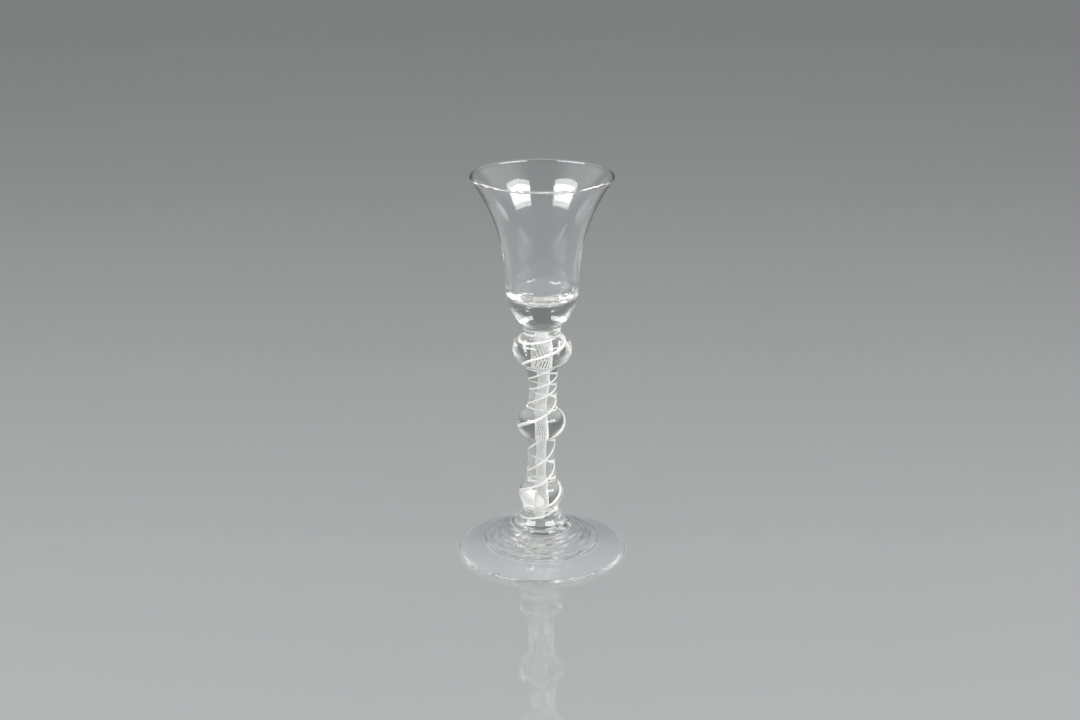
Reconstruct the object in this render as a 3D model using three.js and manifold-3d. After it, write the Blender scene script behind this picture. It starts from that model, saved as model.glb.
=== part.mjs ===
// Opaque twist wine glass: a bell bowl on a stem with three knops and a conical foot.
// The stem is a glass cane built up in layers: a clear core rod, fine enamel threads laid
// along it as a gauze, a clear inner casing, two heavier enamel threads in grooves on that
// casing, and a clear outer casing shaped into knops. The whole cane is twisted as one.
// Lengths are millimetres, +Z is up, and the origin is the middle of the foot on the table.
import * as THREE from 'three';
import { mergeVertices } from 'three/addons/utils/BufferGeometryUtils.js';
import Module from 'manifold-3d';

const wasm = await Module();
wasm.setup();

// Foot
const FOOT_RADIUS = 37;
const FOOT_EDGE_WIDTH = 1.4;
const FOOT_EDGE_HEIGHT = 2.6;
const FOOT_CONE_HEIGHT = 11;
const REST_RING_WIDTH = 2.8;
const FOOT_MIDDLE_THICKNESS = 5.2;
const HOLLOW_CURVE = 1.25;
const PONTIL_RADIUS = 6.2;
const PONTIL_LIP_WIDTH = 0.9;
const PONTIL_LIP_HEIGHT = 0.6;
const COLLAR_OVERHANG = 2;
const COLLAR_HEIGHT = 3;
const COLLAR_SQUEEZE = 0.58;

// Stem: each knop is a round bead on the cane, and the shafts between are drawn in a little
const SEAM = 0.3;
const LOWER_KNOP_HEIGHT = 27.05;
const LOWER_KNOP_RADIUS = 9.75;
const LOWER_KNOP_CURVE = 6.6;
const LOWER_KNOP_REACH = 7.5;
const MIDDLE_KNOP_RISE = 33.25;
const MIDDLE_KNOP_RADIUS = 10.75;
const MIDDLE_KNOP_CURVE = 5.6;
const MIDDLE_KNOP_REACH = 6.8;
const TOP_KNOP_RISE = 33.55;
const TOP_KNOP_RADIUS = 12.95;
const TOP_KNOP_CURVE = 6.6;
const TOP_KNOP_REACH = 8.3;
const NECK_LENGTH = 8.85;
const NECK_RADIUS = 7.9;
const NECK_HOLLOW = 30;
const LOWER_NECK_RADIUS = 8.3;
const LOWER_NECK_RISE = 8;
const LOWER_NECK_HOLLOW = 12.9;
const LOWER_SHAFT_RADIUS = 5.88;
const LOWER_SHAFT_RISE = 17.2;
const LOWER_SHAFT_HOLLOW = 79;
const UPPER_SHAFT_RADIUS = 5.98;
const UPPER_SHAFT_RISE = 15.2;
const UPPER_SHAFT_HOLLOW = 42;

// Enamel threads
const THREAD_RADIUS = 0.4;
const THREAD_SHARE = 0.62;
const THREAD_COUNT = 2;
const LOWER_KNOP_THREAD_DISTANCE = 6.6;
const MIDDLE_KNOP_THREAD_DISTANCE = 7.2;
const TOP_KNOP_THREAD_DISTANCE = 8.1;
const LOWER_KNOP_THREAD_RADIUS = 0.6;
const MIDDLE_KNOP_THREAD_RADIUS = 0.6;
const TOP_KNOP_THREAD_RADIUS = 0.5;
const THREAD_PROUD = 0.05;
const GROOVE_CLEARANCE = 0.12;
const CASING_CLEARANCE = 0.25;
const STEEPEST_SWELL = 1.33;
const GAUZE_COUNT = 20;
const GAUZE_THREAD_RADIUS = 0.09;
const GAUZE_LOWER_SHAFT_RADIUS = 1.28;
const GAUZE_UPPER_SHAFT_RADIUS = 1.52;
const GAUZE_LOWER_KNOP_RADIUS = 1.9;
const GAUZE_MIDDLE_KNOP_RADIUS = 1.9;
const GAUZE_TOP_KNOP_RADIUS = 2.9;
const GAUZE_CLEARANCE = 0.12;
const LAYER_END_LENGTH = 1;

// Twist: the height where a thread crosses the front, and pairs of a height and the length of
// a full turn there, which changes evenly from each height to the next
const FRONT_CROSSING_HEIGHT = 42.55;
const PITCHES = [
  [14, 9.9], [23.5, 9.9], [26, 23.4], [33, 20.3], [38, 18.2], [48, 23.2], [58, 20.3], [66, 20.3],
  [71, 15.9], [75, 10.2], [81, 11], [85, 16.1], [89, 21.4], [93, 13.6], [96, 8.7], [103, 9.9],
];

// Bowl
const BOWL_HEIGHT = 67.3;
const BOWL_STUB_RADIUS = 8.1;
const BOWL_BASE_HEIGHT = 19.6;
const BOWL_BASE_CURVE_HEIGHT = 20.4;
const WAIST_RADIUS = 15.7;
const RIM_RADIUS = 30.3;
const BELL_CURVE = 2.2;
const WAIST_WALL = 2.2;
const RIM_WALL = 1.5;
const BOWL_FLOOR_THICKNESS = 12.4;
const CUP_FULLNESS = 2.3;

// Facets
const BOWL_SIDES = 32;
const FOOT_SIDES = 32;
const STEM_SIDES = 24;
const LAYER_SIDES = 16;
const CORE_SIDES = 10;
const THREAD_SIDES = 5;
const THREAD_STEPS_PER_TURN = 14;
const GROOVE_SIDES = 5;
const GAUZE_SIDES = 3;
const GAUZE_STEPS_PER_TURN = 7;

// Heights that follow from the sizes above
const footTop = FOOT_CONE_HEIGHT + COLLAR_HEIGHT - SEAM / 2;
const stemBottom = footTop + SEAM;
const bowlBottom = LOWER_KNOP_HEIGHT + MIDDLE_KNOP_RISE + TOP_KNOP_RISE + NECK_LENGTH;
const stemTop = bowlBottom - SEAM;
const waistHeight = bowlBottom + BOWL_BASE_HEIGHT;
const rimHeight = bowlBottom + BOWL_HEIGHT - RIM_WALL / 2;
const lowerKnop = {
  height: LOWER_KNOP_HEIGHT,
  radius: LOWER_KNOP_RADIUS,
  curve: LOWER_KNOP_CURVE,
  reach: LOWER_KNOP_REACH,
  threadDistance: LOWER_KNOP_THREAD_DISTANCE,
  threadRadius: LOWER_KNOP_THREAD_RADIUS,
  gauzeRadius: GAUZE_LOWER_KNOP_RADIUS,
};
const middleKnop = {
  height: lowerKnop.height + MIDDLE_KNOP_RISE,
  radius: MIDDLE_KNOP_RADIUS,
  curve: MIDDLE_KNOP_CURVE,
  reach: MIDDLE_KNOP_REACH,
  threadDistance: MIDDLE_KNOP_THREAD_DISTANCE,
  threadRadius: MIDDLE_KNOP_THREAD_RADIUS,
  gauzeRadius: GAUZE_MIDDLE_KNOP_RADIUS,
};
const topKnop = {
  height: middleKnop.height + TOP_KNOP_RISE,
  radius: TOP_KNOP_RADIUS,
  curve: TOP_KNOP_CURVE,
  reach: TOP_KNOP_REACH,
  threadDistance: TOP_KNOP_THREAD_DISTANCE,
  threadRadius: TOP_KNOP_THREAD_RADIUS,
  gauzeRadius: GAUZE_TOP_KNOP_RADIUS,
};
const knops = [lowerKnop, middleKnop, topKnop];

// Every layer of the cane is drawn in between knops along a shallow hollow curve
const shafts = [
  { below: lowerKnop.height, waist: stemBottom + LOWER_NECK_RISE, radius: LOWER_NECK_RADIUS,
    hollow: LOWER_NECK_HOLLOW },
  { below: middleKnop.height, waist: lowerKnop.height + LOWER_SHAFT_RISE,
    radius: LOWER_SHAFT_RADIUS, hollow: LOWER_SHAFT_HOLLOW },
  { below: topKnop.height, waist: middleKnop.height + UPPER_SHAFT_RISE,
    radius: UPPER_SHAFT_RADIUS, hollow: UPPER_SHAFT_HOLLOW },
  { below: Infinity, waist: stemTop, radius: NECK_RADIUS, hollow: NECK_HOLLOW },
];

// Radius of the cane at a height as if it had no knops
function shaftRadius(height) {
  const shaft = shafts.find((piece) => height < piece.below);
  return shaft.radius + (height - shaft.waist) ** 2 / (2 * shaft.hollow);
}

// Radius of a knop's bead, whose outline is an arc of a circle, or zero beyond its ends
function beadRadius(height, knop) {
  const rise = knop.curve ** 2 - (height - knop.height) ** 2;
  return rise > 0 ? knop.radius - knop.curve + Math.sqrt(rise) : 0;
}

function stemRadius(height) {
  return Math.max(shaftRadius(height), ...knops.map((knop) => beadRadius(height, knop)));
}

// A size of the inner layers: its plain value in a shaft, swelling to each knop's own value
function swelled(height, plain, knopSize) {
  const extra = knops.map((knop) => {
    const offset = Math.min(1, Math.abs(height - knop.height) / knop.reach);
    return Math.cos(offset * Math.PI / 2) * (knop[knopSize] - plain);
  });
  return extra.reduce((sum, value) => sum + value, plain);
}

// Distance of the heavy threads' middle line from the axis
function threadDistance(height) {
  return swelled(height, THREAD_SHARE * shaftRadius(height), 'threadDistance');
}

function threadRadius(height) {
  return swelled(height, THREAD_RADIUS, 'threadRadius');
}

// Distance of the fine threads' middle line from the axis
function gauzeDistance(height) {
  const below = height < middleKnop.height;
  const plain = below ? GAUZE_LOWER_SHAFT_RADIUS : GAUZE_UPPER_SHAFT_RADIUS;
  return swelled(height, plain, 'gauzeRadius');
}

function pitchAt(height) {
  const next = PITCHES.findIndex(([level]) => level > height);
  if (next < 1) {
    return PITCHES.at(next)[1];
  }
  const [low, lowPitch] = PITCHES[next - 1];
  const [high, highPitch] = PITCHES[next];
  return THREE.MathUtils.mapLinear(height, low, high, lowPitch, highPitch);
}

// Turn of the cane between two heights, added up over short slices
function twistBetween(low, high) {
  const slices = 160;
  const slice = (high - low) / slices;
  let turn = 0;
  for (let i = 0; i < slices; i += 1) {
    turn += 2 * Math.PI * slice / pitchAt(low + (i + 0.5) * slice);
  }
  return turn;
}

// The front of the glass faces -Y
function twistAngle(height) {
  return twistBetween(FRONT_CROSSING_HEIGHT, height) - Math.PI / 2;
}

// Heights of a thread's points, each a fixed part of a turn above the last
function threadHeights(stepsPerTurn) {
  const heights = [stemBottom + THREAD_RADIUS];
  const end = stemTop - THREAD_RADIUS;
  while (heights.at(-1) < end) {
    heights.push(heights.at(-1) + pitchAt(heights.at(-1)) / stepsPerTurn);
  }
  heights[heights.length - 1] = end;
  return heights;
}

// Points of a right-handed thread that climbs the cane, one at each height
function threadPath(distanceAt, startAngle, heights) {
  return heights.map((height) => {
    const angle = startAngle + twistAngle(height);
    const distance = distanceAt(height);
    return new THREE.Vector3(distance * Math.cos(angle), distance * Math.sin(angle), height);
  });
}

// Corners of a thread's section, square to its path, the first one facing away from the axis
function threadRing(path, index, radius, sides) {
  const before = path[Math.max(index - 1, 0)];
  const after = path[Math.min(index + 1, path.length - 1)];
  const ahead = new THREE.Vector3().subVectors(after, before).normalize();
  const outward = path[index].clone().setZ(0).projectOnPlane(ahead).normalize();
  const across = new THREE.Vector3().crossVectors(ahead, outward);
  return Array.from({ length: sides }, (_, side) => {
    const angle = 2 * Math.PI * side / sides;
    return path[index].clone()
      .addScaledVector(outward, radius * Math.cos(angle))
      .addScaledVector(across, radius * Math.sin(angle));
  });
}

// A closed thread: a ring of corners at each point of its path, and a flat cap at each end
function threadGeometry(path, radiusAt, sides) {
  const rings = path.map((point, index) => threadRing(path, index, radiusAt(point.z), sides));
  const corners = [path[0], ...rings.flat(), path.at(-1)];
  const end = corners.length - 1;
  const faces = [];
  for (let side = 0; side < sides; side += 1) {
    const next = (side + 1) % sides;
    faces.push(0, 1 + next, 1 + side);
    for (let low = 1; low + sides < end; low += sides) {
      const high = low + sides;
      faces.push(low + side, low + next, high + next, low + side, high + next, high + side);
    }
    faces.push(end, end - sides + side, end - sides + next);
  }
  const geometry = new THREE.BufferGeometry().setFromPoints(corners);
  geometry.setIndex(faces);
  geometry.computeVertexNormals();
  return geometry;
}

// Turns an outline of [radius, height] pairs about the Z axis
function turned(outline, sides) {
  const points = outline.map(([radius, height]) => new THREE.Vector2(radius, height));
  const geometry = new THREE.LatheGeometry(points, sides);
  geometry.rotateX(Math.PI / 2);
  return geometry;
}

function toSolid(geometry) {
  const bare = geometry.clone();
  bare.deleteAttribute('normal');
  bare.deleteAttribute('uv');
  const merged = mergeVertices(bare, 1e-5);
  return new wasm.Manifold(new wasm.Mesh({
    numProp: 3,
    vertProperties: new Float32Array(merged.attributes.position.array),
    triVerts: new Uint32Array(merged.index.array),
  }));
}

function fromSolid(solid) {
  const mesh = solid.getMesh();
  const geometry = new THREE.BufferGeometry();
  geometry.setAttribute('position', new THREE.BufferAttribute(mesh.vertProperties, 3));
  geometry.setIndex(new THREE.BufferAttribute(mesh.triVerts, 1));
  geometry.computeVertexNormals();
  return geometry;
}

// Evenly spaced values from one number to another, both ends included
function spread(from, to, count) {
  return Array.from({ length: count }, (_, i) => from + (to - from) * i / (count - 1));
}

// Height where a knop's bead runs into the shaft on its lower or upper side
function beadEnd(knop, side) {
  let inside = 0;
  let outside = knop.curve;
  for (let i = 0; i < 40; i += 1) {
    const middle = (inside + outside) / 2;
    const height = knop.height + side * middle;
    if (beadRadius(height, knop) > shaftRadius(height)) {
      inside = middle;
    } else {
      outside = middle;
    }
  }
  return knop.height + side * inside;
}

// Heights of the outline's points: close together on the knops and few on the shafts
function outsideHeights() {
  const heights = spread(stemBottom, beadEnd(lowerKnop, -1), 4);
  knops.forEach((knop, index) => {
    const low = beadEnd(knop, -1);
    const high = beadEnd(knop, 1);
    const rounding = spread(-1, 1, 8).map((value) => Math.sin(value * Math.PI / 2));
    rounding.slice(1).forEach((value) => heights.push(low + (high - low) * (value + 1) / 2));
    const next = index < 2 ? beadEnd(knops[index + 1], -1) : stemTop;
    const count = index < 2 ? 4 : 2;
    heights.push(...spread(high, next, count).slice(1));
  });
  return heights;
}

// Heights for the inner layers, which swell more gently than the outside
function layerHeights() {
  const heights = [stemBottom];
  knops.forEach((knop) => {
    const low = Math.max(knop.height - knop.reach, stemBottom + LAYER_END_LENGTH);
    const high = Math.min(knop.height + knop.reach, stemTop - LAYER_END_LENGTH);
    heights.push(...spread(low, high, 7));
    const next = knops[knops.indexOf(knop) + 1];
    if (next) {
      heights.push((high + next.height - next.reach) / 2);
    }
  });
  heights.push(stemTop);
  return heights;
}

// A thread's straight steps cut inside its round path, and the rod stays inside the steps
function coreRadius(height) {
  const inside = gauzeDistance(height) * Math.cos(Math.PI / GAUZE_STEPS_PER_TURN);
  return inside - GAUZE_THREAD_RADIUS - GAUZE_CLEARANCE;
}

// The flats of a bore lie inside its corners, so its corners are set a little further out
function boreRadius(height) {
  const outside = gauzeDistance(height) + GAUZE_THREAD_RADIUS + GAUZE_CLEARANCE;
  return outside / Math.cos(Math.PI / LAYER_SIDES);
}

// The heavy threads stand a little proud of the grooves that hold them
function innerCasingRadius(height) {
  return threadDistance(height) + threadRadius(height) - THREAD_PROUD;
}

function outerBoreRadius(height) {
  const thread = threadDistance(height) + threadRadius(height) * STEEPEST_SWELL;
  return (thread + CASING_CLEARANCE) / Math.cos(Math.PI / STEM_SIDES);
}

function outlineOf(heights, radiusAt) {
  return heights.map((height) => [radiusAt(height), height]);
}

// A tube's outline runs up the outside, down the bore and back to its first point
function tubeOutline(outside, bore) {
  return [...outside, ...bore.reverse(), outside[0]];
}

const clearGlass = () => new THREE.MeshStandardMaterial({
  color: 0xe6edef, roughness: 0.03, metalness: 0, transparent: true, opacity: 0.35,
});
const whiteEnamel = () => new THREE.MeshStandardMaterial({
  color: 0xf3f3ee, roughness: 0.35, metalness: 0,
});

const glass = new THREE.Group();

function addPiece(name, geometry, material) {
  const mesh = new THREE.Mesh(geometry, material);
  mesh.name = name;
  glass.add(mesh);
}

// Height of the hollow under the foot at a distance from the axis
function hollowHeight(radius) {
  const fall = (radius / (FOOT_RADIUS - FOOT_EDGE_WIDTH - REST_RING_WIDTH)) ** HOLLOW_CURVE;
  return (footTop - FOOT_MIDDLE_THICKNESS) * (1 - fall);
}

// The scar left by the iron that held the foot: a low ring standing down from the hollow
function pontilOutline() {
  const dip = hollowHeight(0) - hollowHeight(PONTIL_RADIUS);
  return [
    [0, hollowHeight(PONTIL_RADIUS) + dip / 2],
    [PONTIL_RADIUS - PONTIL_LIP_WIDTH, hollowHeight(PONTIL_RADIUS)],
    [PONTIL_RADIUS, hollowHeight(PONTIL_RADIUS) - PONTIL_LIP_HEIGHT],
    [PONTIL_RADIUS + PONTIL_LIP_WIDTH, hollowHeight(PONTIL_RADIUS + PONTIL_LIP_WIDTH)],
  ];
}

// Half-round edge of the foot, from the rest ring up to the cone
function footEdgeOutline() {
  return spread(-Math.PI / 2, Math.PI / 2, 5).map((angle) => [
    FOOT_RADIUS - FOOT_EDGE_WIDTH * (1 - Math.cos(angle)),
    FOOT_EDGE_HEIGHT / 2 * (1 + Math.sin(angle)),
  ]);
}

// Rounded collar that tucks in where it meets the cone and ends flush with the stem
function collarOutline() {
  const rise = footTop - FOOT_CONE_HEIGHT;
  return spread(-0.5, 1, 5).map((quarterTurns) => {
    const angle = quarterTurns * Math.PI / 2;
    const reach = COLLAR_OVERHANG * Math.cos(angle);
    const drop = rise * COLLAR_SQUEEZE * (1 - Math.sin(angle));
    return [stemRadius(stemBottom) + reach, footTop - drop];
  });
}

// Foot: a cone with a hollow underside, a flat ring to stand on, a rounded edge and a collar
function footOutline() {
  const restInner = FOOT_RADIUS - FOOT_EDGE_WIDTH - REST_RING_WIDTH;
  const hollow = spread(PONTIL_RADIUS + PONTIL_LIP_WIDTH, restInner, 5).slice(1)
    .map((radius) => [radius, hollowHeight(radius)]);
  return [...pontilOutline(), ...hollow, ...footEdgeOutline(), ...collarOutline(), [0, footTop]];
}

// Outside of the bell above the waist
function bellRadius(height) {
  const climb = (height - waistHeight) / (rimHeight - waistHeight);
  return WAIST_RADIUS + (RIM_RADIUS - WAIST_RADIUS) * climb ** BELL_CURVE;
}

function bellWall(height) {
  const climb = (height - waistHeight) / (rimHeight - waistHeight);
  return THREE.MathUtils.lerp(WAIST_WALL, RIM_WALL, climb);
}

// Solid base: a quarter ellipse that rises from the stub to the waist
function baseOutline() {
  const start = Math.acos(BOWL_STUB_RADIUS / WAIST_RADIUS);
  return spread(start, 0, 6).map((angle) => [
    WAIST_RADIUS * Math.cos(angle),
    waistHeight - BOWL_BASE_CURVE_HEIGHT * Math.sin(angle),
  ]);
}

function rimOutline() {
  return spread(0, Math.PI, 5).slice(1, -1).map((angle) => [
    RIM_RADIUS - RIM_WALL / 2 * (1 - Math.cos(angle)),
    rimHeight + RIM_WALL / 2 * Math.sin(angle),
  ]);
}

// Round bottom of the cup, from the waist down to the middle of its floor
function cupOutline() {
  const depth = waistHeight - (bowlBottom + BOWL_FLOOR_THICKNESS);
  return spread(0, Math.PI / 2, 5).slice(1).map((angle) => [
    (WAIST_RADIUS - WAIST_WALL) * Math.max(0, Math.cos(angle)) ** (2 / CUP_FULLNESS),
    waistHeight - depth * Math.sin(angle) ** (2 / CUP_FULLNESS),
  ]);
}

// Bowl: a solid round base on a short stub, a narrow waist and a flared bell
function bowlOutline() {
  const outside = spread(waistHeight, rimHeight, 8).map((height) => [bellRadius(height), height]);
  const inside = spread(rimHeight, waistHeight, 8).map((height) => (
    [bellRadius(height) - bellWall(height), height]));
  return [
    [0, bowlBottom], [BOWL_STUB_RADIUS, bowlBottom], ...baseOutline(), ...outside.slice(1),
    ...rimOutline(), ...inside, ...cupOutline().slice(0, -1), [0, bowlBottom + BOWL_FLOOR_THICKNESS],
  ];
}

// Inner casing with an open groove along each heavy thread, without the crumbs that the
// grooves break off its facets
function innerCasing() {
  const outside = outlineOf(layerHeights(), innerCasingRadius);
  const bore = outlineOf(layerHeights(), boreRadius);
  let solid = toSolid(turned(tubeOutline(outside, bore), LAYER_SIDES));
  const heights = threadHeights(THREAD_STEPS_PER_TURN);
  const overrun = 4 * THREAD_RADIUS + SEAM;
  const open = [heights[0] - overrun, ...heights, heights.at(-1) + overrun];
  for (let i = 0; i < THREAD_COUNT; i += 1) {
    const path = threadPath(threadDistance, 2 * Math.PI * i / THREAD_COUNT, open);
    const grooveRadius = (height) => threadRadius(height) + GROOVE_CLEARANCE;
    solid = solid.subtract(toSolid(threadGeometry(path, grooveRadius, GROOVE_SIDES)));
  }
  const bodies = solid.decompose().sort((one, other) => other.volume() - one.volume());
  return fromSolid(bodies[0]);
}

addPiece('foot', turned(footOutline(), FOOT_SIDES), clearGlass());
addPiece('bowl', turned(bowlOutline(), BOWL_SIDES), clearGlass());
addPiece('outer_casing', turned(tubeOutline(
  outlineOf(outsideHeights(), stemRadius),
  outlineOf(layerHeights(), outerBoreRadius),
), STEM_SIDES), clearGlass());
addPiece('inner_casing', innerCasing(), clearGlass());
addPiece('core_rod', turned(
  [[0, stemBottom], ...outlineOf(layerHeights(), coreRadius), [0, stemTop]],
  CORE_SIDES,
), clearGlass());

for (let i = 0; i < THREAD_COUNT; i += 1) {
  const start = 2 * Math.PI * i / THREAD_COUNT;
  const path = threadPath(threadDistance, start, threadHeights(THREAD_STEPS_PER_TURN));
  addPiece(`outer_thread_${i + 1}`, threadGeometry(path, threadRadius, THREAD_SIDES),
    whiteEnamel());
}

for (let i = 0; i < GAUZE_COUNT; i += 1) {
  const start = 2 * Math.PI * i / GAUZE_COUNT;
  const path = threadPath(gauzeDistance, start, threadHeights(GAUZE_STEPS_PER_TURN));
  addPiece(`gauze_thread_${String(i + 1).padStart(2, '0')}`,
    threadGeometry(path, () => GAUZE_THREAD_RADIUS, GAUZE_SIDES), whiteEnamel());
}

export default glass;
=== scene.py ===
"""Looks of an opaque twist wine glass, built around its packed frame.

The clear glass is one body of revolution in three fused pieces: foot, stem and bowl. The
white enamel threads lie inside the stem and are seen through it, bent and magnified by the
knops. Lengths are metres, +Z is up, and the front of the glass faces -Y.
"""

import math
from functools import partial

import bpy
import numpy as np
from mathutils import Euler, Matrix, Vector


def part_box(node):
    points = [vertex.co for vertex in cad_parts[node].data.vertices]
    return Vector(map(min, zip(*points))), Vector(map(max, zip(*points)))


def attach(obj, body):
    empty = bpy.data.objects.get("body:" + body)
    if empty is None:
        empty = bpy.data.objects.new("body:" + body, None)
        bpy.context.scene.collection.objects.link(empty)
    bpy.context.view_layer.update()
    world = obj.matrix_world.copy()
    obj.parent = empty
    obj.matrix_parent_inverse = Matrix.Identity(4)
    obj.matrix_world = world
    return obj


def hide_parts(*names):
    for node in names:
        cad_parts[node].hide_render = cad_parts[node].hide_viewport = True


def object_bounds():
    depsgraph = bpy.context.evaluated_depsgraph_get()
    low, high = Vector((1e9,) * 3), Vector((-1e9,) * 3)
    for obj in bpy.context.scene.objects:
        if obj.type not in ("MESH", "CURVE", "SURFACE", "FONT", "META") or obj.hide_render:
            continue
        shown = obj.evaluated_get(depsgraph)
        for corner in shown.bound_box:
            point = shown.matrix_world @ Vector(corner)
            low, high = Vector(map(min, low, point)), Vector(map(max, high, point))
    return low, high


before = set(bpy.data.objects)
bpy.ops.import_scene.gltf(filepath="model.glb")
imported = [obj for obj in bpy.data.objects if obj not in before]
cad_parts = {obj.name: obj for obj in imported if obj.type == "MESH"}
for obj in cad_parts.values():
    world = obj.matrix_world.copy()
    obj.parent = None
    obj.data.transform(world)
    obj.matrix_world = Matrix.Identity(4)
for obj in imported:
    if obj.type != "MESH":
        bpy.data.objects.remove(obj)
CAD_LOW, CAD_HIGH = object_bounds()

bl_info = {
    "name": "Opaque twist wine glass",
    "version": (1, 0, 0),
    "blender": (4, 5, 0),
    "location": "3D View > Sidebar > Twist glass",
    "description": "Builds a wine glass with enamel threads twisted in its stem",
    "category": "Object",
}

FOOT_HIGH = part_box("foot")[1]
STEM_LOW, STEM_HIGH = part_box("outer_casing")
BOWL_LOW, BOWL_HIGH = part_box("bowl")
# Length of a turn at each height, straight between and level outside
PITCHES = (
    (0.0140, 0.0099), (0.0224, 0.0108), (0.0252, 0.0234), (0.0330, 0.0203),
    (0.0380, 0.0182), (0.0480, 0.0232), (0.0580, 0.0203), (0.0660, 0.0203),
    (0.0710, 0.0159), (0.0750, 0.0102), (0.0810, 0.0110), (0.0850, 0.0161),
    (0.0890, 0.0214), (0.0930, 0.0136), (0.0960, 0.0087), (0.1030, 0.0099),
)
BODY = "root"
GLASS_SLOT = "clear_glass"
ENAMEL_SLOT = "white_enamel"
# Times that light may turn inside the glass
LIGHT_STEPS = 64
# What is set for each knop, at its middle
KNOP_SIZES = {
    "height": "Height of the knop's middle",
    "radius": "Radius of the knop",
    "curve": "Radius of its outline's arc",
    "reach": "Half the length of the swelling inside",
    "distance": "Distance of a heavy thread from the axis there",
    "thread": "Radius of a heavy thread there",
    "gauze": "Radius of the gauze there",
}
# Points of each raw outline, and of the sum of the twist, before they are thinned
POINTS = {
    "hollow": 60, "edge": 33, "collar": 25, "stem": 900, "base": 40, "bell": 120, "lip": 25,
    "cup": 40, "twist": 6000,
}
# Samples of the outline in one reach of the fire's rounding, and reaches to each side
POLISH_SAMPLES = 4
POLISH_SPAN = 4
# Within this many margins of a seam, only the seam's own rings of points stand
SEAM_CLEAR = 3
# Waves in the run of the tool rings: times round the foot, start and size
RING_BENDS = ((2, 1, 1), (5, 0, 0.5))
# Ripples on surfaces: times round the axis, length of the run along it and start
RING_RIPPLES = ((3, 0.0014, 0), (7, math.inf, 1))
CUP_RIPPLES = ((7, 0.0011, 0), (3, -0.0017, 1))
FINE_CUP_RIPPLES = ((11, -0.0007, 2), (5, 0.0023, 0))
# Finer rings: how many to one ring, their sway in radians, sways round the foot, ripple
FINE_RINGS = 2.7
FINE_RING_SWAY = 5
FINE_RING_SWAYS = 2
FINE_RING_RIPPLE = (11, 0.0008, 0)
# Radii between which the waves in the cup grow from nothing to their full height
CUP_WAVES_START = 0.002
CUP_WAVES_FULL = 0.009
# Depth that still counts as a surface's skin, and half the width over which the rings start
SKIN = 0.001
# Upward share of a level face's normal, and the most that the face lies off its seam
LEVEL = 0.9999
ON_SEAM = 1e-6
# Where the room turns pale: the squared sideways share of a direction, and its upward share
PALE_SIDES = (0.08, 0.45)
PALE_ABOVE = (0.26, 0.42)
FLOOR_SIDES = 96
CAMERA_NEAREST = 0.01


def length(description, default):
    """A length in metres that the user may change."""
    return partial(
        bpy.props.FloatProperty, description=description, default=default, min=0.0,
        precision=5, unit="LENGTH", subtype="DISTANCE",
    )


def number(description, default):
    """A plain number, such as a share or the power of a curve."""
    return partial(
        bpy.props.FloatProperty, description=description, default=default, precision=4,
    )


def count(description, default):
    """A whole number of copies, sides or steps."""
    return partial(bpy.props.IntProperty, description=description, default=default, min=1)


def colour(description, default):
    """A colour, in linear light."""
    return partial(
        bpy.props.FloatVectorProperty, description=description, default=default, size=4,
        min=0.0, max=1.0, subtype="COLOR",
    )


def named(group):
    """Makes the properties of a group, each with its own word there as its name."""
    words = group.__annotations__
    for word, make in words.items():
        words[word] = make(name=word.replace("_", " ").capitalize())
    return group


@named
class FootSizes(bpy.types.PropertyGroup):
    """Sizes of the conical foot"""

    radius: length("Outer radius of the foot", FOOT_HIGH.x)
    top: length("Height where the foot meets the stem", FOOT_HIGH.z)
    edge_width: length("How far the round edge reaches in", 0.0011)
    edge_height: length("Thickness of the foot at its edge", 0.0021)
    cone_height: length("Height of the cone under the collar", 0.011)
    rest_ring: length("Width of the flat ring that stands on the table", 0.0012)
    middle_thickness: length("Glass above the hollow at the axis", 0.0052)
    hollow_curve: number("Power of the curve of the hollow underside", 1.25)
    pontil_radius: length("Radius of the scar under the foot", 0.0062)
    pontil_lip_width: length("Width of each side of the scar's lip", 0.0009)
    pontil_lip_height: length("Height of the scar's lip", 0.0006)
    collar_overhang: length("How far the collar stands out", 0.002)
    collar_squeeze: number("Half height of its arc over the collar's height", 0.58)
    ring_inner: length("Radius where the tool rings start", 0.0135)
    ring_outer: length("Radius of the outermost tool ring", 0.0244)
    ring_spacing: length("Distance between two tool rings", 0.0026)
    ring_height: length("Height of the innermost tool ring", 0.00055)
    ring_sharpness: number("Power that narrows a tool ring", 1.3)
    ring_sinking: number("Share that the outermost ring is lower", 0.45)
    ring_uneven: number("Share of the rings' height that comes and goes", 0.4)
    ring_fine: number("Height of the finer rings over the others", 0.1)
    ring_under: number("Height of the rings underneath over those on top", 0.4)
    ring_fade: length("Distance over which the outermost ring ends", 0.0015)
    ledge_height: length("Height of the ledge at the outermost ring", 0.00028)
    ledge_width: length("Half width of that ledge", 0.0007)


def knop_sizes(name, **defaults):
    """A property group for the sizes of one knop, with defaults of its own."""
    fields = {
        size: length(description, defaults[size]) for size, description in KNOP_SIZES.items()
    }
    parts = {"__doc__": f"Sizes of the {name} knop", "__annotations__": fields}
    return named(type(f"{name.capitalize()}KnopSizes", (bpy.types.PropertyGroup,), parts))


LowerKnopSizes = knop_sizes(
    "lower", height=0.02705, radius=0.00975, curve=0.007, reach=0.0075,
    distance=0.0064, thread=0.0006, gauze=0.0019,
)
MiddleKnopSizes = knop_sizes(
    "middle", height=0.0603, radius=0.01075, curve=0.0067, reach=0.0068,
    distance=0.0072, thread=0.0006, gauze=0.0019,
)
TopKnopSizes = knop_sizes(
    "top", height=0.09385, radius=0.01295, curve=0.0072, reach=0.0083,
    distance=0.0081, thread=0.0005, gauze=0.0029,
)


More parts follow.
